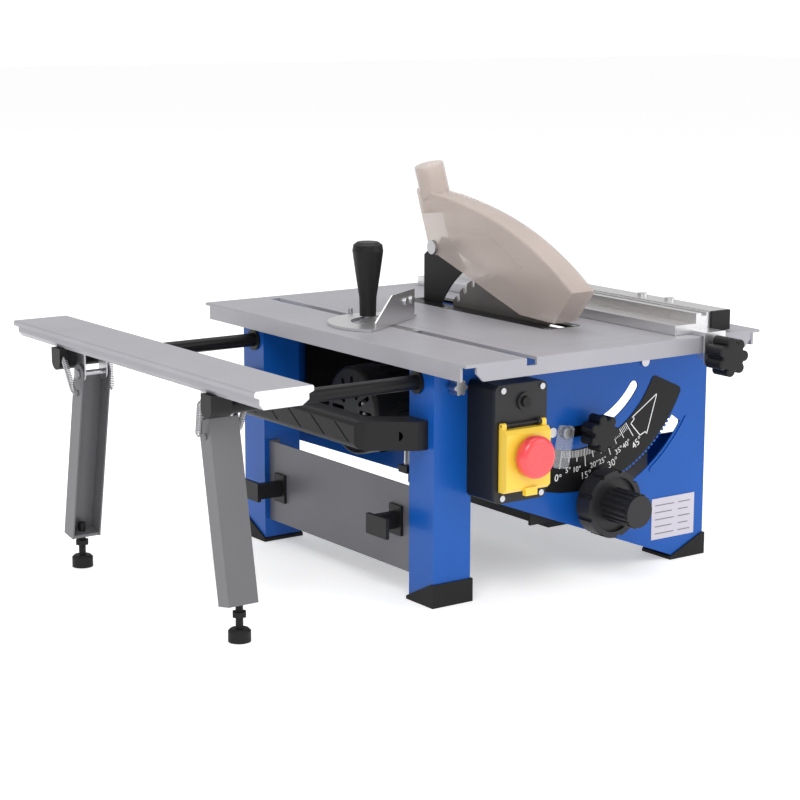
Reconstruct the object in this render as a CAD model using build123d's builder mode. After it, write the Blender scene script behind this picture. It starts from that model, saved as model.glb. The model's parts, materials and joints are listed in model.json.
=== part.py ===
"""Benchtop table saw with a sliding side extension, rip fence, miter gauge and tilting blade unit."""
import os
from math import atan2, cos, degrees, pi, radians, sin

from build123d import *

os.makedirs("parts", exist_ok=True)

# Driving dimensions, in millimetres. Everything is drawn about the centre of the table, and z = 0 is the floor.
TABLE_W = 373.0
TABLE_D = 470.0
TABLE_Z = 246.0
TABLE_LIP = 17.0
PLATE = 3.0
SHEET = 1.5
BODY_L = -178.0
BODY_R = 172.0
BODY_F = -174.5
BODY_B = 170.0
BODY_TOP = 241.2
LEG_W = 44.0
LEG_D = 40.0
PANEL_TOP = 110.0
GAP = 0.3

# The tilt axis runs along Y, just under the table top
TILT_X = -3.0
TILT_Z = 244.0
SHAFT_ANGLE = 8.3
LOCK_R = 92.0
CRANK_R = 165.0

# Blade and its drive
BLADE_X = 25.0
BLADE_R = 105.0
KERF = 2.4
ARBOR_Y = -12.0
ARBOR_Z = 183.0
LIFT = 42.0
GEAR_MODULE = 1.5
GEAR_TEETH = 50
PINION_TEETH = 10
RACK_TEETH = 14
RACK_PITCH_R = 10.0

# Sliding extension
EXT_L = -411.0
EXT_R = -351.0
EXT_MID = (EXT_L + EXT_R) / 2
TUBE_Y = 147.5
TUBE_Z = 216.5
TUBE_R = 7.0
HINGE_Y = 122.0
HINGE_Z = 206.0
SPLAY = 10.5
FOOT_Y = 155.0

# Rip fence and miter gauge
FENCE_L = 85.0
FENCE_TUBE_R = 157.0
FENCE_Y = 219.0
FENCE_KNOB_Y = -268.0
SLOT_X = -109.5
SLOT_W = 12.0
MITER_Y = 6.0
MITER_TURN = 31.0

# The exported frame has its origin on the floor under the middle of the whole machine
FRAME = Location((-(EXT_L + TABLE_W / 2) / 2, -(FENCE_KNOB_Y + TABLE_D / 2) / 2, 0))


def save(builder, node):
    """Label a finished piece, bring it into the exported frame and write it."""
    piece = builder.part.moved(FRAME)
    piece.label = node
    export_step(piece, f"parts/{node}.step")


def block(x0, x1, y0, y1, z0, z1, mode=Mode.ADD):
    """Box between two corners."""
    with Locations(((x0 + x1) / 2, (y0 + y1) / 2, (z0 + z1) / 2)):
        Box(x1 - x0, y1 - y0, z1 - z0, mode=mode)


def rod_x(y, z, radius, x0, x1, mode=Mode.ADD):
    """Round bar along X."""
    with Locations(Location(((x0 + x1) / 2, y, z), (0, 90, 0))):
        Cylinder(radius, x1 - x0, mode=mode)


def rod_y(x, z, radius, y0, y1, mode=Mode.ADD):
    """Round bar along Y."""
    with Locations(Location((x, (y0 + y1) / 2, z), (90, 0, 0))):
        Cylinder(radius, y1 - y0, mode=mode)


def rod_z(x, y, radius, z0, z1, mode=Mode.ADD):
    """Round bar along Z."""
    with Locations((x, y, (z0 + z1) / 2)):
        Cylinder(radius, z1 - z0, mode=mode)


def outline(*points, mode=Mode.ADD):
    """Closed straight-sided face in the current sketch."""
    Polygon(*points, align=None, mode=mode)


def tilt_point(radius, angle):
    """Point at a radius from the tilt axis, the angle counted from straight down towards +X."""
    return (TILT_X + radius * sin(radians(angle)), TILT_Z - radius * cos(radians(angle)))


def tilt_arc(radius, start, stop):
    """Arc about the tilt axis."""
    return CenterArc((TILT_X, TILT_Z), radius, start - 90, stop - start, mode=Mode.PRIVATE)


def tilt_sector(inner, outer, start, stop, mode=Mode.ADD):
    """Ring sector about the tilt axis in the current sketch."""
    edges = [
        tilt_arc(outer, start, stop),
        Line(tilt_point(outer, stop), tilt_point(inner, stop), mode=Mode.PRIVATE),
        tilt_arc(inner, stop, start),
        Line(tilt_point(inner, start), tilt_point(outer, start), mode=Mode.PRIVATE),
    ]
    make_face(edges, mode=mode)


def star(radius, lobes, lobe_r):
    """Star-shaped grip outline in the current sketch."""
    Circle(radius - lobe_r)
    with PolarLocations(radius - lobe_r, lobes):
        Circle(lobe_r)


SHAFT_X, SHAFT_Z = tilt_point(CRANK_R, SHAFT_ANGLE)
BOLT_X, BOLT_Z = tilt_point(LOCK_R, SHAFT_ANGLE)
HALF_W = TABLE_W / 2
HALF_D = TABLE_D / 2
SHEET_BOTTOM = TABLE_Z - PLATE
LIP_BOTTOM = TABLE_Z - TABLE_LIP

# Openings in the table top
CENTRE = (-91.0, 84.0, -199.0, 217.0)
INSERT = (3.6, 50.6, -118.0, 135.0)
BLADE_SLOT = (22.0, 41.0, -114.5, 129.0)

# ---------------------------------------------------------------- table top
FLANGE_X = 174.0
CORNER_CUT = 8.0
INSERT_SCREWS = [(10, -110), (46, -110), (9, 63), (46, 63)]

with BuildPart() as table_top:
    block(-HALF_W, HALF_W, -HALF_D, HALF_D, SHEET_BOTTOM, TABLE_Z)
    for side in (-1, 1):
        block(*sorted((side * HALF_W, side * (HALF_W - PLATE))), -226, 226, LIP_BOTTOM, SHEET_BOTTOM)
        with BuildSketch(Plane.XZ.offset(-side * HALF_D)):
            outline(
                (-FLANGE_X, SHEET_BOTTOM), (FLANGE_X, SHEET_BOTTOM), (FLANGE_X, LIP_BOTTOM + CORNER_CUT),
                (FLANGE_X - CORNER_CUT, LIP_BOTTOM), (CORNER_CUT - FLANGE_X, LIP_BOTTOM),
                (-FLANGE_X, LIP_BOTTOM + CORNER_CUT),
            )
        extrude(amount=side * PLATE)
    fillet(table_top.edges().group_by(Axis.Z)[-1], 1.4)
    seam_l, seam_r, seam_f, seam_b = CENTRE
    block(seam_l - GAP, seam_r + GAP, seam_f - GAP, seam_b + GAP, SHEET_BOTTOM, TABLE_Z, Mode.SUBTRACT)
    block(SLOT_X - SLOT_W / 2, SLOT_X + SLOT_W / 2, -199, 217, SHEET_BOTTOM, TABLE_Z, Mode.SUBTRACT)
    block(SLOT_X - SLOT_W / 2, SLOT_X + SLOT_W / 2, -HALF_D, -199, 238.3, TABLE_Z, Mode.SUBTRACT)
    block(SLOT_X - 8.5, SLOT_X + 8.5, BODY_F + 4, BODY_B - 4, 236.2, SHEET_BOTTOM)
    block(SLOT_X - SLOT_W / 2, SLOT_X + SLOT_W / 2, -199, 217, 237.6, SHEET_BOTTOM, Mode.SUBTRACT)
    for ledge_x in (seam_l, seam_r):
        for ledge_y in (-150, 0, 150):
            block(ledge_x - 7, ledge_x + 7, ledge_y - 12, ledge_y + 12, SHEET_BOTTOM - SHEET, SHEET_BOTTOM)
save(table_top, "table_top")

# ---------------------------------------------------------------- centre plate and throat insert
with BuildPart() as centre_plate:
    block(*CENTRE, SHEET_BOTTOM, TABLE_Z)
    with BuildSketch(Plane.XY.offset(SHEET_BOTTOM)):
        with Locations(((INSERT[0] + INSERT[1]) / 2, (INSERT[2] + INSERT[3]) / 2)):
            RectangleRounded(INSERT[1] - INSERT[0] + 2 * GAP, INSERT[3] - INSERT[2] + 2 * GAP, 8 + GAP)
    extrude(amount=PLATE, mode=Mode.SUBTRACT)
    for screw_x, screw_y in INSERT_SCREWS:
        outward = 1 if screw_x > 27 else -1
        near_x = screw_x - 5 * outward
        block(*sorted((near_x, near_x + 14 * outward)), screw_y - 6, screw_y + 6, SHEET_BOTTOM - SHEET, SHEET_BOTTOM)
        rod_z(screw_x, screw_y, 2.0, SHEET_BOTTOM - 4, SHEET_BOTTOM, Mode.SUBTRACT)
save(centre_plate, "centre_plate")

with BuildPart() as throat_insert:
    with BuildSketch(Plane.XY.offset(SHEET_BOTTOM)):
        with Locations(((INSERT[0] + INSERT[1]) / 2, (INSERT[2] + INSERT[3]) / 2)):
            RectangleRounded(INSERT[1] - INSERT[0], INSERT[3] - INSERT[2], 8)
    extrude(amount=PLATE - 0.2)
    block(*BLADE_SLOT, SHEET_BOTTOM, TABLE_Z, Mode.SUBTRACT)
    for screw_x, screw_y in INSERT_SCREWS:
        rod_z(screw_x, screw_y, 2.0, SHEET_BOTTOM, TABLE_Z, Mode.SUBTRACT)
        rod_z(screw_x, screw_y, 3.6, TABLE_Z - 1.6, TABLE_Z, Mode.SUBTRACT)
save(throat_insert, "throat_insert")

# ---------------------------------------------------------------- bent-sheet front and rear frames
LEG_FOOT = 2.0
NOTCH_HALF = 7.0
NOTCH_Z = 237.0
FOLD_RISE = 15.0
SLOT_R = 5.5
GUIDE_START = -10.8
GUIDE_STOP = 54.0
RACK_SLOT = (156.0, 170.0, 6.5, 55.1)
TOOTH_PITCH = 1.84
LEG_IN_L = BODY_L + LEG_W
LEG_IN_R = BODY_R - LEG_W
KNOB_X = -156.0
KNOB_Z = 214.4
PANEL_SCREWS = [(85, 214), (-35, 155)]


def frame_face():
    """Face panel with two legs and a slanted lower edge, in the current sketch."""
    outline(
        (BODY_L, LEG_FOOT), (BODY_L, BODY_TOP), (SLOT_X - NOTCH_HALF, BODY_TOP), (SLOT_X - NOTCH_HALF, NOTCH_Z),
        (SLOT_X + NOTCH_HALF, NOTCH_Z), (SLOT_X + NOTCH_HALF, BODY_TOP), (BODY_R, BODY_TOP), (BODY_R, LEG_FOOT),
        (LEG_IN_R, LEG_FOOT), (LEG_IN_R, 5), (LEG_IN_L, 105), (LEG_IN_L, LEG_FOOT),
    )


def frame_folds(face_y, inward):
    """Sheet folded back along both sides and again at the inner edge of each leg."""
    return_y = face_y + LEG_D * inward
    for flange_x, turn in ((BODY_L, 1), (BODY_R, -1)):
        sheet_x = sorted((flange_x, flange_x + SHEET * turn))
        block(*sheet_x, *sorted((face_y, return_y)), LEG_FOOT, BODY_TOP)
        leg_x = sorted((flange_x, flange_x + LEG_W * turn))
        return_top = BODY_TOP if turn > 0 else PANEL_TOP + FOLD_RISE
        block(*leg_x, *sorted((return_y, return_y - SHEET * inward)), LEG_FOOT, return_top)
    block(LEG_IN_L - SHEET, LEG_IN_L, *sorted((face_y, (11 - TUBE_Y) * inward)), 203, 230)
    for hole_x in (BODY_L, LEG_IN_L - SHEET):
        rod_x(-inward * TUBE_Y, TUBE_Z, 9.0, hole_x - 1, hole_x + 3, Mode.SUBTRACT)


guide_arc = tilt_arc(LOCK_R, GUIDE_START, GUIDE_STOP)
bead_arc = tilt_arc(175.5, 35, 57)

with BuildPart() as front_frame:
    with BuildSketch(Plane.XZ.offset(-BODY_F)):
        frame_face()
    extrude(amount=-SHEET)
    frame_folds(BODY_F, 1)
    with BuildSketch(Plane.XZ.offset(-BODY_F)):
        SlotArc(guide_arc, 2 * SLOT_R)
        tilt_sector(*RACK_SLOT)
        for tooth in range(25):
            tooth_angle = RACK_SLOT[2] + 1.6 + tooth * TOOTH_PITCH
            tilt_sector(RACK_SLOT[0] - 2.2, RACK_SLOT[0] + 0.5, tooth_angle, tooth_angle + 0.9)
        with Locations((KNOB_X, KNOB_Z), *PANEL_SCREWS):
            Circle(2.5)
        with Locations((-106, 130)):
            Circle(6)
    extrude(amount=-SHEET, mode=Mode.SUBTRACT)
    with BuildSketch(Plane.XZ.offset(-BODY_F)):
        SlotArc(bead_arc, 5)
    extrude(amount=1.2)
save(front_frame, "front_frame")

with BuildPart() as rear_frame:
    with BuildSketch(Plane.XZ.offset(-BODY_B)):
        frame_face()
    extrude(amount=SHEET)
    frame_folds(BODY_B, -1)
    with BuildSketch(Plane.XZ.offset(-BODY_B)):
        SlotArc(guide_arc, 2 * SLOT_R)
        with Locations((KNOB_X, 60)):
            Circle(6)
    extrude(amount=SHEET, mode=Mode.SUBTRACT)
save(rear_frame, "rear_frame")

# ---------------------------------------------------------------- lower side panels
SIDE_L = -172.0
SIDE_R = 168.0
SIDE_BOTTOM = 24.0
FLANGE = 12.0

for panel_node, panel_x, turn in (("left_side_panel", SIDE_L, 1), ("right_side_panel", SIDE_R, -1)):
    with BuildPart() as side_panel:
        block(*sorted((panel_x, panel_x + SHEET * turn)), BODY_F + LEG_D, BODY_B - LEG_D, SIDE_BOTTOM, PANEL_TOP)
        for flange_y, away in ((BODY_F + LEG_D, 1), (BODY_B - LEG_D, -1)):
            fold_y = sorted((flange_y, flange_y + SHEET * away))
            block(*sorted((panel_x, panel_x + FLANGE * turn)), *fold_y, SIDE_BOTTOM, PANEL_TOP)
    save(side_panel, panel_node)

# ---------------------------------------------------------------- rubber foot caps
CAP_H = 23.0
CAP_WALL = 2.0

with BuildPart() as foot_caps:
    for leg_x0, leg_x1 in ((BODY_L, LEG_IN_L), (LEG_IN_R, BODY_R)):
        for leg_y0, leg_y1 in ((BODY_F, BODY_F + LEG_D), (BODY_B - LEG_D, BODY_B)):
            cap_x = (leg_x0 - CAP_WALL, leg_x1 + CAP_WALL)
            cap_y = (leg_y0 - CAP_WALL, leg_y1 + CAP_WALL)
            block(*cap_x, *cap_y, 0, CAP_H)
            block(leg_x0, leg_x1, leg_y0, leg_y1, LEG_FOOT, CAP_H, Mode.SUBTRACT)
            left = leg_x0 < 0
            front = leg_y0 < 0
            low_y = leg_y1 + 4 if front else leg_y0 - 4
            high_y = leg_y0 if front else leg_y1
            with BuildSketch(Plane.YZ.offset(cap_x[0]) if left else Plane.XZ.offset(-cap_y[1])):
                if left:
                    outline((high_y, CAP_H + 1), (low_y, 2.4), (low_y, CAP_H + 1))
                else:
                    outline((leg_x1, CAP_H + 1), (leg_x0 - 4, 2.4), (leg_x0 - 4, CAP_H + 1))
            extrude(amount=LEG_W + 8, mode=Mode.SUBTRACT)
save(foot_caps, "foot_caps")

# ---------------------------------------------------------------- tilt scale and rating plate
PLATE_T = 0.8
SCALE = (110.0, 153.0, -17.0, 66.0)

with BuildPart() as tilt_scale:
    with BuildSketch(Plane.XZ.offset(-BODY_F)) as scale_face:
        tilt_sector(*SCALE)
        fillet(scale_face.vertices(), 5)
    extrude(amount=PLATE_T)
save(tilt_scale, "tilt_scale")

with BuildPart() as rating_plate:
    block(100, 159, BODY_F - 0.6, BODY_F, 24.5, 68)
save(rating_plate, "rating_plate")

HANDLE_Y = 150.0
HANDLE_Z = 168.0

# ---------------------------------------------------------------- side handle and cord hooks
HANDLE_X = -236.0
BAR_IN_X = -214.0
BAR_Z = (154.0, 182.0)

with BuildPart() as carry_handle:
    with BuildSketch(Plane.XY.offset(BAR_Z[0])):
        outline(
            (BODY_L, 165), (BODY_L - 12, 165), (HANDLE_X + 6, 134), (HANDLE_X, 126), (HANDLE_X, -126),
            (HANDLE_X + 6, -134), (BODY_L - 12, -165), (BODY_L, -165), (BODY_L, -134), (BODY_L - 10, -134),
            (BAR_IN_X, -114), (BAR_IN_X, 114), (BODY_L - 10, 134), (BODY_L, 134),
        )
    extrude(amount=BAR_Z[1] - BAR_Z[0])
    fillet(carry_handle.edges().filter_by(Axis.Y).group_by(Axis.X)[0], 6)
    for screw_y in (-HANDLE_Y, HANDLE_Y):
        rod_x(screw_y, HANDLE_Z, 6.5, BODY_L - 26, BODY_L - 8, Mode.SUBTRACT)
save(carry_handle, "carry_handle")

with BuildPart() as cord_hooks:
    for hook_y, hook_z, turn in ((106.5, 62.5, 1), (-106, 73, -1)):
        block(SIDE_L - 3, SIDE_L, hook_y - 10, hook_y + 10, hook_z - 15, hook_z + 15)
        block(SIDE_L - 29, SIDE_L - 3, hook_y - 4, hook_y + 4, hook_z - 8, hook_z + 8)
        block(SIDE_L - 33, SIDE_L - 29, *sorted((hook_y - 6 * turn, hook_y + 28 * turn)), hook_z - 10, hook_z + 10)
save(cord_hooks, "cord_hooks")

# ---------------------------------------------------------------- tube bushings and cable gland
FIT = 0.05

with BuildPart() as tube_bushings:
    for tube_y in (-TUBE_Y, TUBE_Y):
        rod_x(tube_y, TUBE_Z, 11.0, BODY_L - 2.5, BODY_L)
        rod_x(tube_y, TUBE_Z, 9.0, BODY_L, BODY_L + 6)
        rod_x(tube_y, TUBE_Z, 9.0, LEG_IN_L - 4, LEG_IN_L)
        rod_x(tube_y, TUBE_Z, 11.0, LEG_IN_L, LEG_IN_L + 2.5)
        rod_x(tube_y, TUBE_Z, TUBE_R + FIT, BODY_L - 5, LEG_IN_L + 5, Mode.SUBTRACT)
save(tube_bushings, "tube_bushings")

with BuildPart() as cable_gland:
    with BuildSketch(Plane.XZ.offset(-BODY_B)):
        with Locations((KNOB_X, 60)):
            RegularPolygon(10, 6)
    extrude(amount=-5)
    rod_y(KNOB_X, 60, 6.0, BODY_B - 8, BODY_B)
    rod_y(KNOB_X, 60, 7.5, BODY_B + 5, BODY_B + 16)
    rod_y(KNOB_X, 60, 4.0, BODY_B - 9, BODY_B + 17, Mode.SUBTRACT)
save(cable_gland, "cable_gland")

# ---------------------------------------------------------------- switch box with its guarded stop
BOX = (-139.0, -77.0, 105.0, 219.0)
BOX_F = -214.0
LID_F = -218.0
BOX_WALL = 2.5
BUTTON_TRAVEL = 3.0
START = (-121.0, 150.0)
STOP = (-96.0, 150.0)
RESET = (-105.0, 201.5)
BUTTON_R = 8.0
RESET_R = 5.0
BOX_X = (BOX[0] + BOX[1]) / 2
BOX_Z = (BOX[2] + BOX[3]) / 2
BOX_W = BOX[1] - BOX[0]
BOX_H = BOX[3] - BOX[2]
BUTTONS = ((START, BUTTON_R), (STOP, BUTTON_R), (RESET, RESET_R))

with BuildPart() as switch_box:
    with BuildSketch(Plane.XZ.offset(-BODY_F)):
        with Locations((BOX_X, BOX_Z)):
            RectangleRounded(BOX_W, BOX_H, 6)
    extrude(amount=BODY_F - BOX_F)
    with BuildSketch(Plane.XZ.offset(-BODY_F + BOX_WALL)):
        with Locations((BOX_X, BOX_Z)):
            RectangleRounded(BOX_W - 2 * BOX_WALL, BOX_H - 2 * BOX_WALL, 4)
    extrude(amount=BODY_F - BOX_F, mode=Mode.SUBTRACT)
save(switch_box, "switch_box")

HINGE_PIN_Y = -221.6
HINGE_PIN_Z = 181.0
FLAP = (-135.0, -82.0, 117.0, 177.0)
FLAP_F = -231.0
EAR_W = 5.0

with BuildPart() as switch_lid:
    with BuildSketch(Plane.XZ.offset(-BOX_F)):
        with Locations((BOX_X, BOX_Z)):
            RectangleRounded(BOX_W, BOX_H, 6)
    extrude(amount=BOX_F - LID_F)
    rod_y(*RESET, RESET_R + 3.5, LID_F - 2.5, LID_F)
    for (button_x, button_z), button_r in BUTTONS:
        rod_y(button_x, button_z, button_r + GAP, LID_F - 5, BOX_F + 1, Mode.SUBTRACT)
    for lug_x in (FLAP[0] + EAR_W + 0.4, FLAP[1] - EAR_W - 4.4):
        block(lug_x, lug_x + 4, HINGE_PIN_Y, LID_F, HINGE_PIN_Z - 2.6, HINGE_PIN_Z + 2.6)
        rod_x(HINGE_PIN_Y, HINGE_PIN_Z, 2.6, lug_x, lug_x + 4)
    rod_x(HINGE_PIN_Y, HINGE_PIN_Z, 1.2, FLAP[0] + 0.6, FLAP[1] - 0.6)
save(switch_lid, "switch_lid")

with BuildPart() as screws:
    for screw_x, screw_y in INSERT_SCREWS:
        rod_z(screw_x, screw_y, 3.5, TABLE_Z - 1.6, TABLE_Z - 0.3)
        rod_z(screw_x, screw_y, 2.0, SHEET_BOTTOM - 3, TABLE_Z - 1.6)
    for screw_x, screw_z in PANEL_SCREWS:
        rod_y(screw_x, screw_z, 5.0, BODY_F - 2.5, BODY_F)
        rod_y(screw_x, screw_z, 2.5, BODY_F, BODY_F + 4)
    for screw_y in (-HANDLE_Y, HANDLE_Y):
        rod_x(screw_y, HANDLE_Z, 5.5, BODY_L - 12.5, BODY_L - 8)
    for screw_x in (BOX[0] + 9, BOX[1] - 6):
        for screw_z in (BOX[2] + 5, BOX[3] - 5.4):
            rod_y(screw_x, screw_z, 3.0, LID_F - 1.2, LID_F)
save(screws, "screws")

for (button_x, button_z), button_r, button_node, proud in (
    (START, BUTTON_R, "start_button", 4.0),
    (STOP, BUTTON_R, "stop_button", 4.0),
    (RESET, RESET_R, "reset_button", 5.5),
):
    with BuildPart() as button:
        rod_y(button_x, button_z, button_r, LID_F - proud, BOX_F + 2)
        rod_y(button_x, button_z, button_r + 2, BOX_F + 0.3, BOX_F + 2.3)
    save(button, button_node)

with BuildPart() as switch_flap:
    block(FLAP[0], FLAP[1], FLAP_F, LID_F - 0.8, FLAP[2], FLAP[3])
    chamfer(switch_flap.edges().filter_by(Axis.X).group_by(Axis.Y)[0], 4)
    block(FLAP[0] + 3, FLAP[1] - 3, FLAP_F + 3, LID_F, FLAP[2] + 3, FLAP[3] - 3, Mode.SUBTRACT)
    for ear_x in (FLAP[0], FLAP[1] - EAR_W):
        block(ear_x, ear_x + EAR_W, HINGE_PIN_Y - 2.6, HINGE_PIN_Y + 2.6, FLAP[3] - 4, HINGE_PIN_Z)
        rod_x(HINGE_PIN_Y, HINGE_PIN_Z, 2.6, ear_x, ear_x + EAR_W)
    rod_x(HINGE_PIN_Y, HINGE_PIN_Z, 1.2 + FIT, FLAP[0] - 1, FLAP[1] + 1, Mode.SUBTRACT)
    block(-113, -99, FLAP_F - 2, FLAP_F + 3, FLAP[2] - 4, FLAP[2] + 4)
    rod_y(-106, 151, 8 + GAP, FLAP_F - 1, LID_F, Mode.SUBTRACT)
save(switch_flap, "switch_flap")

MUSHROOM_R = 20.5
with BuildPart() as stop_mushroom:
    rod_y(-106, 151, 8, FLAP_F - 5, LID_F - 7.5)
    rod_y(-106, 151, MUSHROOM_R, -246, FLAP_F - 4)
    fillet(stop_mushroom.faces().sort_by(Axis.Y)[0].edges(), 6)
save(stop_mushroom, "stop_mushroom")

# ---------------------------------------------------------------- star knobs: extension tube lock and tilt lock
KNOB_GAP = 1.0

with BuildPart() as tube_lock_knob:
    rod_y(KNOB_X, KNOB_Z, 2.0, BODY_F - 6, -TUBE_Y - TUBE_R - 0.6)
    with BuildSketch(Plane.XZ.offset(-BODY_F + KNOB_GAP)):
        with Locations((KNOB_X, KNOB_Z)):
            star(8, 6, 2)
    extrude(amount=12)
save(tube_lock_knob, "tube_lock_knob")

LOCK_BACK = -178.5
TRUNNION_F = -168.0
with BuildPart() as tilt_lock_knob:
    rod_y(BOLT_X, BOLT_Z, 4.0, LOCK_BACK - 6, TRUNNION_F - 0.5)
    rod_y(BOLT_X, BOLT_Z, 10.0, LOCK_BACK - 8, LOCK_BACK)
    with BuildSketch(Plane.XZ.offset(-LOCK_BACK + 8)):
        with Locations((BOLT_X, BOLT_Z)):
            star(19, 7, 5)
    extrude(amount=18)
    fillet(tilt_lock_knob.faces().sort_by(Axis.Y)[0].edges(), 2)
save(tilt_lock_knob, "tilt_lock_knob")

# ---------------------------------------------------------------- sliding extension
TUBE_END = -125.0
TUBE_START = -402.0
HINGE_HALF = 12.6
PIN_R = 3.0

with BuildPart() as extension_plate:
    with BuildSketch(Plane.XZ.offset(-HALF_D)):
        outline(
            (EXT_L, TABLE_Z - 5), (EXT_L, TABLE_Z), (EXT_R, TABLE_Z), (EXT_R, TABLE_Z - 5), (EXT_R - 5, TABLE_Z - 7),
            (EXT_R - 5, TABLE_Z - 12), (EXT_R - 12, 229.3), (EXT_L + 9, 229.3), (EXT_L + 5, TABLE_Z - 12),
            (EXT_L + 5, TABLE_Z - 7),
        )
    extrude(amount=TABLE_D)
    fillet(extension_plate.edges().filter_by(Axis.Y).group_by(Axis.Z)[-1], 1.5)
    block(EXT_L + 14, EXT_R - 14, 3 - HALF_D, HALF_D - 3, 229, 240, Mode.SUBTRACT)
save(extension_plate, "extension_plate")

with BuildPart() as slide_tubes:
    for tube_y in (-TUBE_Y, TUBE_Y):
        rod_x(tube_y, TUBE_Z, TUBE_R, TUBE_START, TUBE_END)
        rod_x(tube_y, TUBE_Z, TUBE_R - 1.2, TUBE_START - 1, TUBE_END + 1, Mode.SUBTRACT)
save(slide_tubes, "slide_tubes")

with BuildPart() as tube_brackets:
    for tube_y in (-TUBE_Y, TUBE_Y):
        block(-408, -386, tube_y - 9, tube_y + 9, TUBE_Z, 229.3)
        rod_x(tube_y, TUBE_Z, 9, -408, -386)
        block(EXT_L + 15, EXT_R - 15, tube_y - 9, tube_y + 9, 229.3, 240)
        rod_x(tube_y, TUBE_Z, TUBE_R, TUBE_START, -380, Mode.SUBTRACT)
save(tube_brackets, "tube_brackets")

with BuildPart() as hinge_brackets:
    for hinge_y in (-HINGE_Y, HINGE_Y):
        block(EXT_L + 15, EXT_R - 15, hinge_y - 9, hinge_y + 9, 238, 240)
        for ear in (-1, 1):
            ear_x = sorted((EXT_MID + ear * (HINGE_HALF - SHEET), EXT_MID + ear * HINGE_HALF))
            block(*ear_x, hinge_y - 8, hinge_y + 8, HINGE_Z, 240)
            rod_x(hinge_y, HINGE_Z, 8, *ear_x)
        rod_x(hinge_y, HINGE_Z, PIN_R, EXT_MID - 17, EXT_MID + 17)
        for head in (-1, 1):
            rod_x(hinge_y, HINGE_Z, 5, *sorted((EXT_MID + head * 16, EXT_MID + head * 18)))
save(hinge_brackets, "hinge_brackets")

SPRING_R = 3.2
SPRING_LOW = (-401.6, 122.0, 186.0)
SPRING_HIGH = (-406.0, 134.5, 222.0)
with BuildPart() as leg_springs:
    for side in (-1, 1):
        for mirror_x in (1, -1):
            low_x = EXT_MID + mirror_x * (SPRING_LOW[0] - EXT_MID)
            high_x = EXT_MID + mirror_x * (SPRING_HIGH[0] - EXT_MID)
            low = Vector(low_x, side * SPRING_LOW[1], SPRING_LOW[2])
            high = Vector(high_x, side * SPRING_HIGH[1], SPRING_HIGH[2])
            with BuildSketch(Plane(origin=low, z_dir=high - low)):
                Circle(SPRING_R)
            extrude(amount=(high - low).length)
save(leg_springs, "leg_springs")

# ---------------------------------------------------------------- folding legs and levelling feet
LEG_HALF_W = 15.5
LEG_HALF_D = 9.5
LEG_LENGTH = (HINGE_Z - 34) / cos(radians(SPLAY))
PLATE_Z = 34.0
STUD_R = 3.5

for side, leg_node, foot_node in (
    (-1, "front_leg", "front_level_foot"), (1, "rear_leg", "rear_level_foot"),
):
    leg_frame = Plane(
        origin=(EXT_MID, side * HINGE_Y, HINGE_Z), x_dir=(1, 0, 0),
        z_dir=(0, -side * sin(radians(SPLAY)), cos(radians(SPLAY))),
    )
    with BuildPart(leg_frame) as leg:
        web = side * LEG_HALF_D
        block(-LEG_HALF_W, LEG_HALF_W, *sorted((web, web - SHEET * side)), -LEG_LENGTH, -4)
        for ear in (-1, 1):
            wall_x = sorted((ear * LEG_HALF_W, ear * (LEG_HALF_W - SHEET)))
            block(*wall_x, -LEG_HALF_D, LEG_HALF_D, -LEG_LENGTH, 0)
            rod_x(0, 0, LEG_HALF_D, *wall_x)
            rod_x(0, 0, PIN_R + FIT, *wall_x, Mode.SUBTRACT)
            rod_x(0, -20, 3, *sorted((ear * (LEG_HALF_W - 2), ear * (LEG_HALF_W + 1.2))))
        block(-LEG_HALF_W + 1, LEG_HALF_W - 1, -LEG_HALF_D + 1, LEG_HALF_D - 1, -LEG_LENGTH, 3 - LEG_LENGTH)
    with BuildPart() as bored_leg:
        add(leg.part)
        rod_z(EXT_MID, side * FOOT_Y, STUD_R + FIT, 20, 50, Mode.SUBTRACT)
    save(bored_leg, leg_node)

    with BuildPart() as level_foot:
        rod_z(EXT_MID, side * FOOT_Y, 10.5, 0, 12)
        chamfer(level_foot.faces().sort_by(Axis.Z)[-1].edges(), 2)
        rod_z(EXT_MID, side * FOOT_Y, STUD_R, 10, 46)
        with BuildSketch(Plane.XY.offset(23)):
            with Locations((EXT_MID, side * FOOT_Y)):
                RegularPolygon(7, 6)
        extrude(amount=5)
    save(level_foot, foot_node)

# ---------------------------------------------------------------- tilting frame that hangs under the table
TRUNNION_B = -165.0
REAR_TRUNNION = (160.0, 163.0)
BAR = (-12.0, -2.0, 228.0, 236.0)
ROD_X = -12.0
ROD_YS = (-75.0, 100.0)
ROD_R = 5.0
ROD_BOTTOM = 68.0
SHAFT_R = 4.0
POINTER_ANGLE = -10.3
POINTER_X, POINTER_Z = tilt_point(LOCK_R, POINTER_ANGLE)

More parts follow.
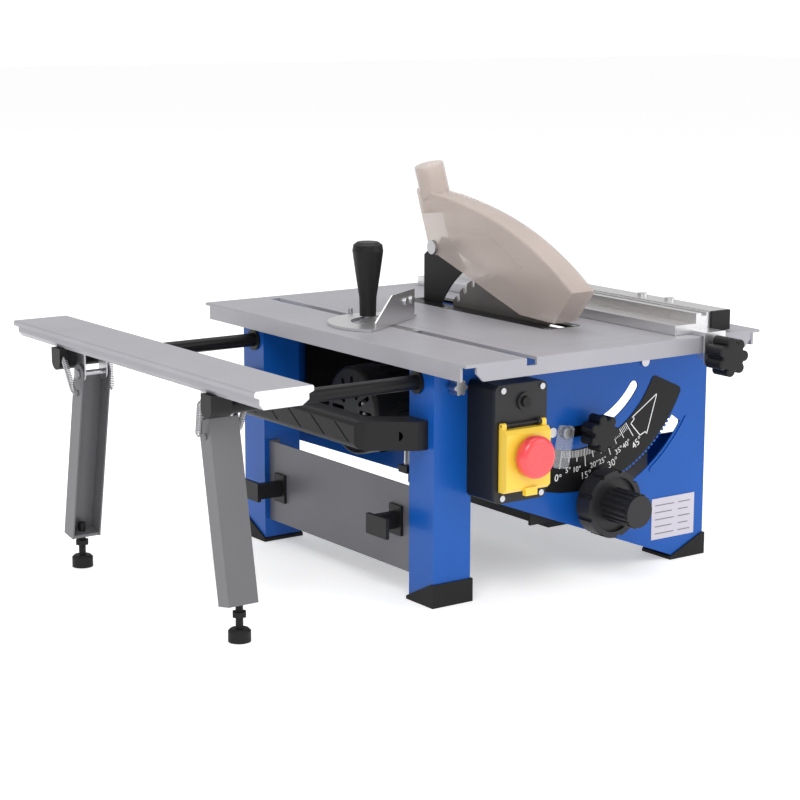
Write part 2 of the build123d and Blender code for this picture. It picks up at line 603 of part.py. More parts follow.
with BuildPart() as tilt_frame:
    with BuildSketch(Plane.XZ.offset(-TRUNNION_B)):
        outline((-55, 62), (30, 62), (30, 170), (-2, 190), (-2, 236), (-20, 236), (-20, 190), (-55, 170))
        with Locations((SHAFT_X, SHAFT_Z)):
            Circle(SHAFT_R + FIT, mode=Mode.SUBTRACT)
    extrude(amount=TRUNNION_B - TRUNNION_F)
    with BuildSketch(Plane.XZ.offset(-REAR_TRUNNION[1])):
        outline((-105, 105), (22, 105), (22, 190), (-2, 236), (-20, 236), (-20, 225), (-105, 225))
    extrude(amount=REAR_TRUNNION[1] - REAR_TRUNNION[0])
    block(BAR[0], BAR[1], TRUNNION_B, REAR_TRUNNION[0], BAR[2], BAR[3])
    rod_y(POINTER_X, POINTER_Z, 3.5, LOCK_BACK, TRUNNION_F)
    for stud_angle in (POINTER_ANGLE, SHAFT_ANGLE):
        stud_x, stud_z = tilt_point(LOCK_R, stud_angle)
        rod_y(stud_x, stud_z, 4.0, REAR_TRUNNION[1], BODY_B + 2)
        rod_y(stud_x, stud_z, 8.0, BODY_B + 0.5, BODY_B + 5)
save(tilt_frame, "tilt_frame")

CASE = (6.0, 46.0, -122.0, 126.0)
CASE_BOTTOM = 41.0
CASE_TOP_L = 225.0
CASE_TOP_R = 185.0

with BuildPart() as blade_case:
    block(*CASE, CASE_BOTTOM, CASE_TOP_R)
    block(CASE[0] + SHEET, CASE[1] - SHEET, CASE[2] + SHEET, CASE[3] - SHEET, 0, CASE_TOP_L, Mode.SUBTRACT)
    block(CASE[0], CASE[0] + SHEET, CASE[2], CASE[3], CASE_TOP_R, CASE_TOP_L)
    block(CASE[0], CASE[0] + SHEET, TRUNNION_B, CASE[2], 150, 200)
    block(CASE[0], CASE[0] + SHEET, CASE[3], REAR_TRUNNION[0], 150, 200)
    block(CASE[0], CASE[0] + SHEET, ARBOR_Y - 24, ARBOR_Y + 24, ARBOR_Z - LIFT - 24, ARBOR_Z + 26, Mode.SUBTRACT)
    for rod_y_place in ROD_YS:
        block(ROD_X - 8, CASE[0], rod_y_place - 8, rod_y_place + 8, ROD_BOTTOM - 8, ROD_BOTTOM)
    block(CASE[0] + SHEET, BLADE_X - 1, 109, 121, 150, 172)
save(blade_case, "blade_case")

with BuildPart() as guide_rods:
    for rod_y_place in ROD_YS:
        rod_z(ROD_X, rod_y_place, ROD_R, ROD_BOTTOM, BAR[2])
save(guide_rods, "guide_rods")

with BuildPart() as tilt_pointer:
    with BuildSketch(Plane.XZ.offset(-LOCK_BACK)):
        with Locations(tilt_point(106.5, POINTER_ANGLE)):
            RectangleRounded(21, 43, 4, rotation=POINTER_ANGLE)
        with Locations((POINTER_X, POINTER_Z)):
            Circle(3.6, mode=Mode.SUBTRACT)
    extrude(amount=-1.6)
save(tilt_pointer, "tilt_pointer")

BOLT_Y = 84.5
GUARD_BOLT_Z = 308.5
GUARD_X = (10.0, 40.0)
GUARD_WALL = 2.0
GUARD_BOLT_R = 4.0
KNIFE_GAP_R = 119.5

with BuildPart() as riving_knife:
    with BuildSketch(Plane.YZ.offset(BLADE_X - 1)):
        outline((90, 150), (118, 150), (118, 238), (122, 244), (122, 296), (112, 303), (96, 310), (90, 318), (78, 318),
                (48, 290), (60, 240))
        with Locations((ARBOR_Y, ARBOR_Z)):
            Circle(KNIFE_GAP_R, mode=Mode.SUBTRACT)
        with Locations((BOLT_Y, GUARD_BOLT_Z)):
            Circle(GUARD_BOLT_R + FIT, mode=Mode.SUBTRACT)
    extrude(amount=2)
save(riving_knife, "riving_knife")

with BuildPart() as tilt_bolts:
    rod_y(POINTER_X, POINTER_Z, 5.5, LOCK_BACK - 3, LOCK_BACK)
    rod_x(BOLT_Y, GUARD_BOLT_Z, GUARD_BOLT_R, GUARD_X[0] - 2, GUARD_X[1] + 2)
    rod_x(BOLT_Y, GUARD_BOLT_Z, 7.5, GUARD_X[0] - 4, GUARD_X[0] - 0.4)
    rod_x(BOLT_Y, GUARD_BOLT_Z, 7.5, GUARD_X[1] + 0.4, GUARD_X[1] + 4)
save(tilt_bolts, "tilt_bolts")

# ---------------------------------------------------------------- blade guard with dust port
PORT_R = 14.5
PORT_OUT_R = 16.0
PORT_TOP = (115.5, 394.0)
PORT_LEAN = 22.0
PORT_LENGTH = 38.0
PORT_BORE = 40.0
GUARD_ROUND = 3.0
SIDE_RIB_H = 0.8
RIB_W = 2.4
GUARD_TOP = [(72, 365.5), (20, 357), (-37, 342.5), (-97, 318), (-149, 286.5)]
GUARD_BASE = [(-121, 252), (-66, 254), (-28, 266), (5, 277), (35, 287), (78, 300.5), (86, 300.5), (93, 305)]
GUARD_BACK = [(101, 326), (109, 345), (118, 369.5), (91, 367)]
CAVITY_TOP = [(72, 363.5), (20, 355), (-37, 340.5), (-96, 316), (-144.5, 286)]
CAVITY_REST = [(-119, 259), (-110, 240), (110, 240), (110, 335), (107, 345.5), (115, 366.5), (91, 365)]
port_axis = Vector(0, sin(radians(PORT_LEAN)), cos(radians(PORT_LEAN)))
port_top = Vector(BLADE_X, *PORT_TOP)
rib_arc = ThreePointArc((57, 331), (13, 333), (-25, 326))
rib_tail = ThreePointArc((-25, 326), (-47, 316), (-66, 303))

with BuildPart() as guard_shell:
    with BuildSketch(Plane.YZ.offset(GUARD_X[0])):
        with BuildLine():
            Spline(*GUARD_TOP)
            Polyline(GUARD_TOP[-1], *GUARD_BASE, *GUARD_BACK, GUARD_TOP[0])
        make_face()
    extrude(amount=GUARD_X[1] - GUARD_X[0])
    fillet(guard_shell.edges().filter_by(GeomType.BSPLINE), GUARD_ROUND)
    with BuildSketch(Plane(origin=port_top, z_dir=port_axis)):
        Circle(PORT_OUT_R)
    extrude(amount=-PORT_LENGTH)
    with BuildSketch(Plane.YZ.offset(GUARD_X[0] + GUARD_WALL)):
        with BuildLine():
            Spline(*CAVITY_TOP)
            Polyline(CAVITY_TOP[-1], *CAVITY_REST, CAVITY_TOP[0])
        make_face()
    extrude(amount=GUARD_X[1] - GUARD_X[0] - 2 * GUARD_WALL, mode=Mode.SUBTRACT)
    with BuildSketch(Plane(origin=port_top, z_dir=port_axis)):
        Circle(PORT_R)
    extrude(amount=-PORT_BORE, mode=Mode.SUBTRACT)
    with BuildSketch(Plane.YZ.offset(GUARD_X[0] - SIDE_RIB_H)):
        SlotArc(rib_arc, RIB_W)
        SlotArc(rib_tail, RIB_W)
        with Locations((-11, 330)):
            Circle(3)
    extrude(amount=SIDE_RIB_H + 0.5)
    rod_x(BOLT_Y, GUARD_BOLT_Z, GUARD_BOLT_R + FIT, 0, 50, Mode.SUBTRACT)
save(guard_shell, "guard_shell")

# ---------------------------------------------------------------- lifting gear case with the motor
GEAR_R = GEAR_MODULE * GEAR_TEETH / 2
PINION_R = GEAR_MODULE * PINION_TEETH / 2
MOTOR_Y = 24.0
MOTOR_Z = 156.0
MOTOR_R = 46.0
MOTOR_X = (-130.0, -30.0)
GEAR_CASE = (-30.0, -3.0, -56.0, 45.0, 135.0, 226.0)
CASE_WALL = 3.0
BEARING_R = 13.0
ARBOR_R = 7.0
ADDENDUM = 0.7
DEDENDUM = 1.0
TOOTH_ROOT = 0.26
TOOTH_TIP = 0.11
rack_module = 2 * RACK_PITCH_R / RACK_TEETH
rack_pitch = pi * rack_module
RACK_X = SHAFT_X - RACK_PITCH_R
RACK_Y = (-150.0, -138.0)
ARM_X = (-12.0, 2.0)


def gear_outline(teeth, module, turn):
    """Spur gear with straight-sided teeth, one of them pointing at the given angle, in the current sketch."""
    pitch_r = module * teeth / 2
    root_r = pitch_r - DEDENDUM * module
    tip_r = pitch_r + ADDENDUM * module
    root_half = TOOTH_ROOT * pi * module
    tip_half = TOOTH_TIP * pi * module
    Circle(root_r)
    with PolarLocations(0, teeth, start_angle=turn):
        outline((root_r - 1, -root_half), (tip_r, -tip_half), (tip_r, tip_half), (root_r - 1, root_half))


with BuildPart() as gear_case:
    block(*GEAR_CASE)
    fillet(gear_case.edges().filter_by(Axis.X), 8)
    block(
        GEAR_CASE[0] + CASE_WALL, GEAR_CASE[1] - CASE_WALL, GEAR_CASE[2] + CASE_WALL, GEAR_CASE[3] - CASE_WALL,
        GEAR_CASE[4] + CASE_WALL, GEAR_CASE[5] - CASE_WALL, Mode.SUBTRACT,
    )
    rod_x(ARBOR_Y, ARBOR_Z, BEARING_R + 3, -28, -22)
    block(ARM_X[0], ARM_X[1], RACK_Y[0], GEAR_CASE[2] + 2, GEAR_CASE[4], GEAR_CASE[4] + 16)
    block(-20, -4, GEAR_CASE[3] - 2, ROD_YS[1], 160, 200)
    for rod_y_place in ROD_YS:
        rod_z(ROD_X, rod_y_place, 10, GEAR_CASE[4], 210)
    block(-22, -4, ROD_YS[0], GEAR_CASE[2] + 2, GEAR_CASE[4] + 16, 205)
    with BuildSketch(Plane.XZ.offset(-RACK_Y[1])):
        rack_root = RACK_X - DEDENDUM * rack_module
        rack_tip = RACK_X + ADDENDUM * rack_module
        rack_low = SHAFT_Z - 2.5 * rack_pitch
        rack_high = SHAFT_Z + LIFT + 2.5 * rack_pitch
        outline((-4, rack_low), (rack_root, rack_low), (rack_root, rack_high), (-4, rack_high))
        outline((-4, rack_high - 1), (2, rack_high - 1), (2, GEAR_CASE[4] + 4), (-4, GEAR_CASE[4] + 4))
        for tooth in range(14):
            tooth_z = SHAFT_Z + (tooth - 1.5) * rack_pitch
            root_half = TOOTH_ROOT * rack_pitch
            tip_half = TOOTH_TIP * rack_pitch
            outline(
                (rack_root - 1, tooth_z - root_half), (rack_tip, tooth_z - tip_half),
                (rack_tip, tooth_z + tip_half), (rack_root - 1, tooth_z + root_half),
            )
    extrude(amount=RACK_Y[1] - RACK_Y[0])
    for rod_y_place in ROD_YS:
        rod_z(ROD_X, rod_y_place, ROD_R + FIT, 100, 230, Mode.SUBTRACT)
    rod_x(ARBOR_Y, ARBOR_Z, BEARING_R, -27, 0, Mode.SUBTRACT)
    rod_x(MOTOR_Y, MOTOR_Z, 9, -31, -26, Mode.SUBTRACT)
save(gear_case, "gear_case")

with BuildPart() as arbor_bearings:
    for bearing_x in (-27, -6):
        rod_x(ARBOR_Y, ARBOR_Z, BEARING_R, bearing_x, bearing_x + 5)
    rod_x(ARBOR_Y, ARBOR_Z, ARBOR_R + FIT, -30, 10, Mode.SUBTRACT)
save(arbor_bearings, "arbor_bearings")

with BuildPart() as motor_housing:
    rod_x(MOTOR_Y, MOTOR_Z, MOTOR_R, *MOTOR_X)
    with BuildSketch(Plane.YZ.offset(MOTOR_X[0] + 20)):
        with Locations((MOTOR_Y, MOTOR_Z)):
            with PolarLocations(MOTOR_R, 24):
                Rectangle(2.5, 3)
    extrude(amount=60)
    rod_x(MOTOR_Y, MOTOR_Z, MOTOR_R - 3, MOTOR_X[0] - 1, MOTOR_X[1] - 4, Mode.SUBTRACT)
    rod_x(MOTOR_Y, MOTOR_Z, SHAFT_R + FIT, MOTOR_X[1] - 6, MOTOR_X[1] + 1, Mode.SUBTRACT)
save(motor_housing, "motor_housing")

with BuildPart() as motor_end_cap:
    rod_x(MOTOR_Y, MOTOR_Z, MOTOR_R, MOTOR_X[0] - 8, MOTOR_X[0])
    fillet(motor_end_cap.faces().sort_by(Axis.X)[0].edges(), 5)
    rod_x(MOTOR_Y, MOTOR_Z, MOTOR_R - 4, MOTOR_X[0] - 4, MOTOR_X[0] + 1, Mode.SUBTRACT)
    rod_x(MOTOR_Y, MOTOR_Z, SHAFT_R + 4, MOTOR_X[0] - 8, MOTOR_X[0])
    rod_x(MOTOR_Y, MOTOR_Z, SHAFT_R + FIT, MOTOR_X[0] - 5, MOTOR_X[0] + 1, Mode.SUBTRACT)
    with BuildSketch(Plane.YZ.offset(MOTOR_X[0] - 9)):
        with Locations((MOTOR_Y, MOTOR_Z)):
            with PolarLocations(25, 12):
                SlotOverall(22, 5)
    extrude(amount=6, mode=Mode.SUBTRACT)
save(motor_end_cap, "motor_end_cap")

# ---------------------------------------------------------------- armature, arbor and blade
mesh_angle = degrees(atan2(MOTOR_Z - ARBOR_Z, MOTOR_Y - ARBOR_Y))

with BuildPart() as armature:
    rod_x(MOTOR_Y, MOTOR_Z, SHAFT_R, MOTOR_X[0] - 4, -7)
    rod_x(MOTOR_Y, MOTOR_Z, 28, MOTOR_X[0] + 22, MOTOR_X[1] - 24)
    rod_x(MOTOR_Y, MOTOR_Z, 12, MOTOR_X[0] + 6, MOTOR_X[0] + 20)
    with BuildSketch(Plane.YZ.offset(-22)):
        with Locations((MOTOR_Y, MOTOR_Z)):
            gear_outline(PINION_TEETH, GEAR_MODULE, mesh_angle + 180 + 180 / PINION_TEETH)
    extrude(amount=13)
save(armature, "armature")

with BuildPart() as drive_gear:
    with BuildSketch(Plane.YZ.offset(-20)):
        with Locations((ARBOR_Y, ARBOR_Z)):
            gear_outline(GEAR_TEETH, GEAR_MODULE, mesh_angle)
            Circle(ARBOR_R, mode=Mode.SUBTRACT)
    extrude(amount=9)
save(drive_gear, "drive_gear")

BLADE_BORE = 8.0
BLADE_FACE = BLADE_X - KERF / 2
BLADE_TEETH = 40
with BuildPart() as arbor:
    rod_x(ARBOR_Y, ARBOR_Z, ARBOR_R, -27, BLADE_FACE - 5)
    rod_x(ARBOR_Y, ARBOR_Z, 16, BLADE_FACE - 5, BLADE_FACE)
    rod_x(ARBOR_Y, ARBOR_Z, BLADE_BORE, BLADE_FACE, BLADE_FACE + KERF)
    rod_x(ARBOR_Y, ARBOR_Z, 5, BLADE_FACE + KERF, 39)
save(arbor, "arbor")

with BuildPart() as saw_blade:
    with BuildSketch(Plane.YZ.offset(BLADE_FACE)):
        with Locations((ARBOR_Y, ARBOR_Z)):
            Circle(BLADE_R)
            Circle(BLADE_BORE, mode=Mode.SUBTRACT)
            with PolarLocations(0, BLADE_TEETH):
                outline((BLADE_R + 1, -1), (BLADE_R - 7, -3), (BLADE_R - 7.5, 1.5), (BLADE_R - 3, 5),
                        (BLADE_R + 1, 9), mode=Mode.SUBTRACT)
    extrude(amount=KERF)
save(saw_blade, "saw_blade")

with BuildPart() as arbor_nut:
    rod_x(ARBOR_Y, ARBOR_Z, 14, BLADE_FACE + KERF, BLADE_FACE + KERF + 3)
    with BuildSketch(Plane.YZ.offset(BLADE_FACE + KERF + 3)):
        with Locations((ARBOR_Y, ARBOR_Z)):
            RegularPolygon(9.5, 6)
    extrude(amount=7)
    rod_x(ARBOR_Y, ARBOR_Z, 5, 0, 60, Mode.SUBTRACT)
save(arbor_nut, "arbor_nut")

# ---------------------------------------------------------------- height handwheel and its rack pinion
WHEEL_R = 34.0
WHEEL_BACK = -186.0
WHEEL_RIM = -208.0
HUB_END = -245.0
HUB_R = 17.5

with BuildPart() as handwheel:
    rod_y(SHAFT_X, SHAFT_Z, WHEEL_R, WHEEL_RIM, WHEEL_BACK)
    fillet(handwheel.faces().sort_by(Axis.Y)[-1].edges(), 4)
    rod_y(SHAFT_X, SHAFT_Z, WHEEL_R - 6, WHEEL_RIM - 1, WHEEL_RIM + 4, Mode.SUBTRACT)
    rod_y(SHAFT_X, SHAFT_Z, HUB_R - 1.5, HUB_END, WHEEL_RIM + 5)
    with BuildSketch(Plane.XZ.offset(-WHEEL_RIM)):
        with Locations((SHAFT_X, SHAFT_Z)):
            with PolarLocations(HUB_R - 1.5, 18):
                Circle(1.8)
    extrude(amount=WHEEL_RIM - HUB_END - 3)
    with BuildSketch(Plane.XZ.offset(-WHEEL_BACK)):
        with Locations((SHAFT_X, SHAFT_Z)):
            with PolarLocations(WHEEL_R, 9):
                Circle(2.6)
    extrude(amount=WHEEL_BACK - WHEEL_RIM, mode=Mode.SUBTRACT)
    rod_y(SHAFT_X, SHAFT_Z, SHAFT_R, WHEEL_BACK - 30, WHEEL_BACK + 1, Mode.SUBTRACT)
save(handwheel, "handwheel")

with BuildPart() as handwheel_shaft:
    rod_y(SHAFT_X, SHAFT_Z, SHAFT_R, WHEEL_BACK - 30, RACK_Y[1] + 2)
    with BuildSketch(Plane.XZ.offset(-RACK_Y[1])):
        with Locations((SHAFT_X, SHAFT_Z)):
            gear_outline(RACK_TEETH, rack_module, 180)
    extrude(amount=RACK_Y[1] - RACK_Y[0])
save(handwheel_shaft, "handwheel_shaft")

# ---------------------------------------------------------------- rip fence
FENCE_SHELF = (85.0, 113.0)
FENCE_WALL_X = 132.0
FENCE_LOW = TABLE_Z + GAP
TUBE_WALL = 2.0
CLAMP_X = (106.0, 134.0)
CLAMP_KNOB = (120.0, 228.0)

with BuildPart() as rip_fence:
    with BuildSketch(Plane.XZ.offset(-FENCE_Y)):
        outline(
            (FENCE_SHELF[0], FENCE_LOW), (FENCE_WALL_X, FENCE_LOW), (FENCE_WALL_X, 266), (127, 266), (127, 263),
            (120, 263), (120, 266), (FENCE_SHELF[1], 266), (FENCE_SHELF[1], 256), (FENCE_SHELF[0], 256),
        )
    extrude(amount=2 * FENCE_Y)
save(rip_fence, "rip_fence")

with BuildPart() as fence_tube:
    block(FENCE_WALL_X, FENCE_TUBE_R, -FENCE_Y, FENCE_Y, FENCE_LOW + 0.7, 267)
    block(
        FENCE_WALL_X + TUBE_WALL, FENCE_TUBE_R - TUBE_WALL, -FENCE_Y, FENCE_Y,
        FENCE_LOW + 0.7 + TUBE_WALL, 267 - TUBE_WALL, Mode.SUBTRACT,
    )
save(fence_tube, "fence_tube")

with BuildPart() as fence_end_caps:
    for cap_end in (-1, 1):
        block(FENCE_WALL_X, FENCE_TUBE_R, *sorted((cap_end * FENCE_Y, cap_end * (FENCE_Y + 3))), FENCE_LOW + 0.7, 267)
save(fence_end_caps, "fence_end_caps")

with BuildPart() as fence_clamp:
    block(*CLAMP_X, -240, -238, 218, 250)
    block(CLAMP_X[0], FENCE_WALL_X, -238, -FENCE_Y, FENCE_LOW, 250)
    block(CLAMP_X[0] + 4, CLAMP_X[1] - 4, -238, -226, 222, 228)
    rod_y(*CLAMP_KNOB, 3 + FIT, -241, -225, Mode.SUBTRACT)
    for bolt_y in (-142, -100):
        rod_z(147, bolt_y, 5.5, 267, 270)
save(fence_clamp, "fence_clamp")

with BuildPart() as fence_knob:
    rod_y(*CLAMP_KNOB, 3, -245, -235.6)
    rod_y(*CLAMP_KNOB, 10, -246, -240.6)
    with BuildSketch(Plane.XZ.offset(246)):
        with Locations(CLAMP_KNOB):
            star(20, 7, 5.5)
    extrude(amount=-FENCE_KNOB_Y - 246)
    fillet(fence_knob.faces().sort_by(Axis.Y)[0].edges(), 2)
save(fence_knob, "fence_knob")

# ---------------------------------------------------------------- miter gauge
BAR_W = 11.6
HEAD_R = 58.0
HEAD_Z = TABLE_Z + GAP
HEAD_T = 2.7
ARC_R = 30.0
GRIP_Y = MITER_Y + ARC_R
PIVOT_R = 4.0
MITER_FENCE_Y = -11.0
FENCE_HALF = 48.0
FENCE_TOP = 277.0

with BuildPart() as miter_bar:
    block(SLOT_X - BAR_W / 2, SLOT_X + BAR_W / 2, -50, 75, 238.6, TABLE_Z - 0.1)
    rod_z(SLOT_X, MITER_Y, PIVOT_R, TABLE_Z - 1, HEAD_Z + HEAD_T + 0.3)
    rod_z(SLOT_X, MITER_Y, 6.5, HEAD_Z + HEAD_T + 0.3, HEAD_Z + HEAD_T + 3)
    rod_z(SLOT_X, GRIP_Y, PIVOT_R, TABLE_Z - 1, 264)
    rod_z(SLOT_X, 68, 2.5, TABLE_Z - 1, 254)
save(miter_bar, "miter_bar")

head_plane = Plane(origin=(SLOT_X, MITER_Y, HEAD_Z), x_dir=(cos(radians(MITER_TURN)), sin(radians(MITER_TURN)), 0))
head_arc = CenterArc((0, 0), ARC_R, 28, 124, mode=Mode.PRIVATE)

with BuildPart() as miter_head:
    with BuildSketch(head_plane):
        Circle(HEAD_R)
        with Locations((0, -HEAD_R / 2 + MITER_FENCE_Y)):
            Rectangle(3 * HEAD_R, HEAD_R, mode=Mode.SUBTRACT)
        SlotArc(head_arc, 2 * PIVOT_R + 1, mode=Mode.SUBTRACT)
        Circle(PIVOT_R + FIT, mode=Mode.SUBTRACT)
    extrude(amount=HEAD_T)
save(miter_head, "miter_head")

fence_plane = Plane(origin=head_plane.origin, x_dir=head_plane.x_dir, z_dir=-head_plane.y_dir)
with BuildPart() as miter_fence:
    with BuildSketch(fence_plane.offset(-MITER_FENCE_Y)):
        outline((-FENCE_HALF, 0), (FENCE_HALF, 0), (FENCE_HALF, FENCE_TOP - HEAD_Z), (-8, FENCE_TOP - HEAD_Z),
                (-FENCE_HALF, 8))
    extrude(amount=1.6)
    with BuildSketch(fence_plane.offset(-MITER_FENCE_Y + 1.6)):
        with Locations((25, 20), (40, 20)):
            Circle(4)
    extrude(amount=1.8)
save(miter_fence, "miter_fence")

with BuildPart() as miter_handle:
    with BuildSketch(Plane.XZ.offset(-GRIP_Y)):
        with BuildLine():
            Polyline((SLOT_X, 250.5), (SLOT_X + 8.5, 250.5), (SLOT_X + 9, 270))
            Spline((SLOT_X + 9, 270), (SLOT_X + 13, 296), (SLOT_X + 16, 318))
            Line((SLOT_X + 16, 318), (SLOT_X + 15, 324))
            Line((SLOT_X + 15, 324), (SLOT_X + 11, 327))
            Line((SLOT_X + 11, 327), (SLOT_X, 327))
            Line((SLOT_X, 327), (SLOT_X, 250.5))
        make_face()
    revolve(axis=Axis((SLOT_X, GRIP_Y, 0), (0, 0, 1)))
    rod_z(SLOT_X, GRIP_Y, PIVOT_R + FIT, 240, 265, Mode.SUBTRACT)
save(miter_handle, "miter_handle")
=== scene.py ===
"""Looks of the benchtop table saw: materials, dial marks, springs, trim, light and camera."""

import json
from math import cos, pi, radians, sin

import bmesh
import bpy
from mathutils import Matrix, Vector


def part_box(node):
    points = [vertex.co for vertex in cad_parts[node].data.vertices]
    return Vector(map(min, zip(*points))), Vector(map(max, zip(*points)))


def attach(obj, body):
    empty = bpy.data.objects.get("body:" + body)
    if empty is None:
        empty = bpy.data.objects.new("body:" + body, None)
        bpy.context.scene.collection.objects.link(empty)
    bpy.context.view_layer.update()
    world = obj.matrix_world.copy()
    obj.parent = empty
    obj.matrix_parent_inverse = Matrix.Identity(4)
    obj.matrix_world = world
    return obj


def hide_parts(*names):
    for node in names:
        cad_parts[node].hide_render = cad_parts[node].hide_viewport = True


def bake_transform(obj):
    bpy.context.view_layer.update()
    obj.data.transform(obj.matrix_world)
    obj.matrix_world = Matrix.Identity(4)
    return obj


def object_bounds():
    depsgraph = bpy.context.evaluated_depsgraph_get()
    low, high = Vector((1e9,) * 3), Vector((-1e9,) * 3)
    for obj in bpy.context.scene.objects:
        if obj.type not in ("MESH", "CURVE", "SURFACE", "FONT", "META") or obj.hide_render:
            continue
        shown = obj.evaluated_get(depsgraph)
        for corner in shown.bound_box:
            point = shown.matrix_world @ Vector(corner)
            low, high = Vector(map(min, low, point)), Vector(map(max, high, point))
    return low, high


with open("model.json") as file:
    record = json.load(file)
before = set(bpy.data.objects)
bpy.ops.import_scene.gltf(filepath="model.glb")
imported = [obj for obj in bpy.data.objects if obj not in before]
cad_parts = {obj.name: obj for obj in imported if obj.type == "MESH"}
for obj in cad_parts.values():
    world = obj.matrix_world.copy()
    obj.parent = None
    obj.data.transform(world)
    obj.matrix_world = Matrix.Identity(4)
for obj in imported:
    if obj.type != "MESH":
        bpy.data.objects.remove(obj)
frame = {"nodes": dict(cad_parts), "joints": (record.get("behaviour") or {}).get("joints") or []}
cad_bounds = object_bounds()
nodes = frame["nodes"]

MM = 0.001
table_low, table_high = (Vector(corner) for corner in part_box("table_top"))
CENTRE = Vector(((table_low.x + table_high.x) / 2, (table_low.y + table_high.y) / 2, 0))
joints = {joint["name"]: joint for joint in frame["joints"]}
TILT = Vector(joints["blade_tilt"]["pos_m"])


# ------------------------------------------------------------------ materials
# Shared by every finish: noise scale of the colour, spread of roughness, relief depth and coat roughness.
BROAD_SCALE = 14.0
ROUGH_SWING = 0.07
RELIEF_DEPTH = 0.0004
COAT_ROUGHNESS = 0.12


def surface(
    name, colour, rough, metallic=0.0, grain=900.0, bump=0.05, vary=0.08, coat=0.0, specular=0.5,
    stretch=(1, 1, 1),
):
    """Procedural finish: soft colour variation, uneven roughness and a fine relief."""
    material = bpy.data.materials.new(name)
    material.use_nodes = True
    tree = material.node_tree
    shader = tree.nodes["Principled BSDF"]
    shader.inputs["Metallic"].default_value = metallic
    shader.inputs["Specular IOR Level"].default_value = specular
    shader.inputs["Coat Weight"].default_value = coat
    shader.inputs["Coat Roughness"].default_value = COAT_ROUGHNESS
    coords = tree.nodes.new("ShaderNodeTexCoord")
    mapping = tree.nodes.new("ShaderNodeMapping")
    mapping.inputs["Scale"].default_value = stretch
    tree.links.new(coords.outputs["Object"], mapping.inputs["Vector"])
    broad = tree.nodes.new("ShaderNodeTexNoise")
    broad.inputs["Scale"].default_value = BROAD_SCALE
    broad.inputs["Detail"].default_value = 6.0
    tree.links.new(mapping.outputs["Vector"], broad.inputs["Vector"])
    ramp = tree.nodes.new("ShaderNodeValToRGB")
    ramp.color_ramp.elements[0].position = 0.25
    ramp.color_ramp.elements[1].position = 0.75
    ramp.color_ramp.elements[0].color = tuple(c * (1 - vary) for c in colour) + (1.0,)
    ramp.color_ramp.elements[1].color = tuple(min(1.0, c * (1 + vary)) for c in colour) + (1.0,)
    tree.links.new(broad.outputs["Fac"], ramp.inputs["Fac"])
    tree.links.new(ramp.outputs["Color"], shader.inputs["Base Color"])
    fine = tree.nodes.new("ShaderNodeTexNoise")
    fine.inputs["Scale"].default_value = grain
    fine.inputs["Detail"].default_value = 3.0
    tree.links.new(mapping.outputs["Vector"], fine.inputs["Vector"])
    spread = tree.nodes.new("ShaderNodeMapRange")
    spread.inputs["To Min"].default_value = max(0.02, rough - ROUGH_SWING)
    spread.inputs["To Max"].default_value = min(1.0, rough + ROUGH_SWING)
    tree.links.new(fine.outputs["Fac"], spread.inputs["Value"])
    tree.links.new(spread.outputs["Result"], shader.inputs["Roughness"])
    relief = tree.nodes.new("ShaderNodeBump")
    relief.inputs["Strength"].default_value = bump
    relief.inputs["Distance"].default_value = RELIEF_DEPTH
    tree.links.new(fine.outputs["Fac"], relief.inputs["Height"])
    tree.links.new(relief.outputs["Normal"], shader.inputs["Normal"])
    return material


def clear(name, colour, rough, alpha, transmission):
    """Tinted see-through plastic."""
    material = surface(name, colour, rough, grain=300, bump=0.03, vary=0.05)
    shader = material.node_tree.nodes["Principled BSDF"]
    shader.inputs["Transmission Weight"].default_value = transmission
    shader.inputs["IOR"].default_value = 1.2
    shader.inputs["Alpha"].default_value = alpha
    return material


table_paint = surface("table_paint", (0.36, 0.355, 0.385), 0.40, metallic=0.15,
                      grain=1600, bump=0.12, vary=0.05)
blue_paint = surface("blue_paint", (0.005, 0.088, 0.40), 0.34,
                     grain=700, bump=0.05, vary=0.05, coat=0.15, specular=0.2)
grey_paint = surface("grey_paint", (0.115, 0.115, 0.13), 0.42, grain=1200, bump=0.08, vary=0.05)
leg_paint = surface("leg_paint", (0.125, 0.123, 0.132), 0.36, grain=1200, bump=0.06, vary=0.04, coat=0.1)
black_steel = surface("black_steel", (0.008, 0.008, 0.009), 0.34,
                      grain=1200, bump=0.05, vary=0.2, specular=0.2)
black_plastic = surface("black_plastic", (0.010, 0.010, 0.011), 0.42,
                        grain=1800, bump=0.18, vary=0.15, specular=0.25)
grey_plastic = surface("grey_plastic", (0.020, 0.020, 0.022), 0.42,
                       grain=1800, bump=0.2, vary=0.1, specular=0.3)
black_rubber = surface("black_rubber", (0.010, 0.010, 0.010), 0.62,
                       grain=900, bump=0.25, vary=0.2, specular=0.25)
steel = surface("steel", (0.52, 0.52, 0.54), 0.30, metallic=1.0, grain=900, bump=0.06, vary=0.06)
blade_steel = surface("blade_steel", (0.16, 0.15, 0.145), 0.38, metallic=0.8, grain=500, bump=0.08, vary=0.15)
aluminium = surface("aluminium", (0.72, 0.72, 0.73), 0.32, metallic=0.9,
                    grain=500, bump=0.08, vary=0.04, stretch=(1, 0.04, 1))
cast_metal = surface("cast_metal", (0.35, 0.35, 0.36), 0.5, metallic=0.7, grain=500, bump=0.4, vary=0.1)
yellow_plastic = surface("yellow_plastic", (0.86, 0.58, 0.05), 0.35,
                         grain=1500, bump=0.06, vary=0.04, coat=0.2)
red_plastic = surface("red_plastic", (0.80, 0.06, 0.07), 0.28, grain=1500, bump=0.04, vary=0.05, coat=0.4)
green_plastic = surface("green_plastic", (0.02, 0.30, 0.08), 0.35, grain=1500, bump=0.05, vary=0.05)
white_ink = surface("white_ink", (0.85, 0.85, 0.85), 0.5, grain=1500, bump=0.05, vary=0.03)
